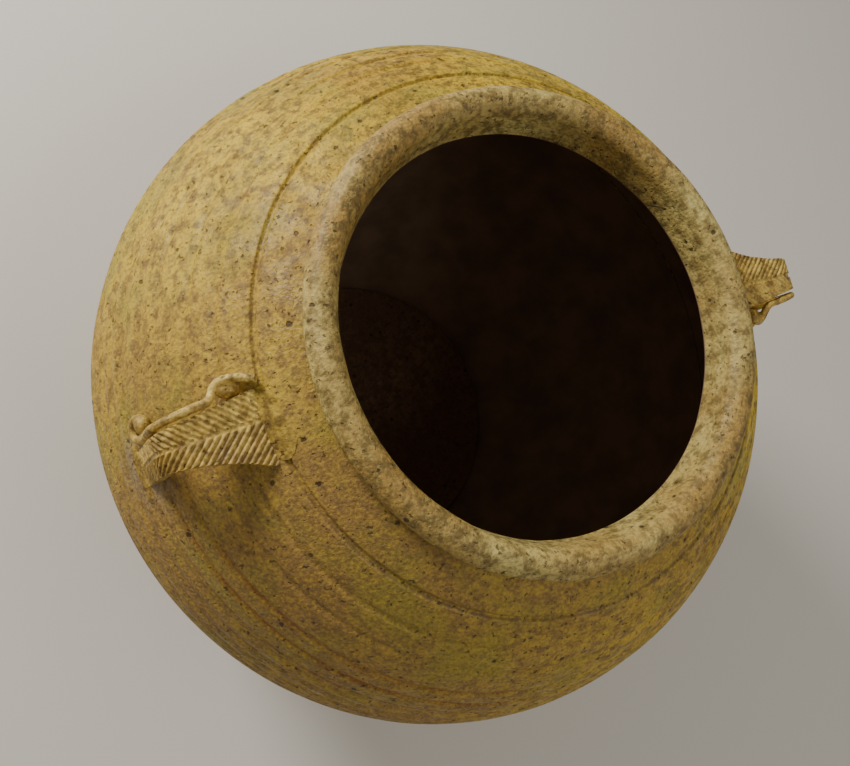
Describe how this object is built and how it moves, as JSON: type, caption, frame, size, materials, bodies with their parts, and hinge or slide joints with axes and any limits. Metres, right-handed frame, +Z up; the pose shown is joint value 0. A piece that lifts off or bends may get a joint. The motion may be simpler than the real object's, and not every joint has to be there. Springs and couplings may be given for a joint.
{
  "type": "two-handled jar",
  "caption": "Globular ash-glazed stoneware storage jar with a thick rolled lip, ridged belly and a leaf-incised strap lug over a finger gap on each shoulder.",
  "frame": {"origin": "centre of the base, on the surface the jar stands on", "axes": "+Z up along the jar's axis; the left lug lies at -X and the right lug near +X"},
  "size_m": [0.28, 0.28, 0.2248],
  "materials": {
    "body_glaze": "glossy olive-amber ash glaze with fine iron specks",
    "rim_glaze": "thin grey-beige glaze, worn on the lip",
    "handle_glaze": "pooled ash glaze over incised lines",
    "wiped_clay": "rough wiped clay, thinly glazed",
    "bare_clay": "unglazed fired stoneware"
  },
  "bodies": {
    "root": {"base_disc": "bare_clay", "lower_wall": "body_glaze", "shoulder_wall": "body_glaze", "mouth_rim": "rim_glaze", "left_handle_strap": "handle_glaze", "left_handle_scroll": "handle_glaze", "left_handle_root_pad": "wiped_clay", "left_handle_foot_pad": "wiped_clay", "right_handle_strap": "handle_glaze", "right_handle_scroll": "handle_glaze", "right_handle_root_pad": "wiped_clay", "right_handle_foot_pad": "wiped_clay"}
  },
  "joints": []
}
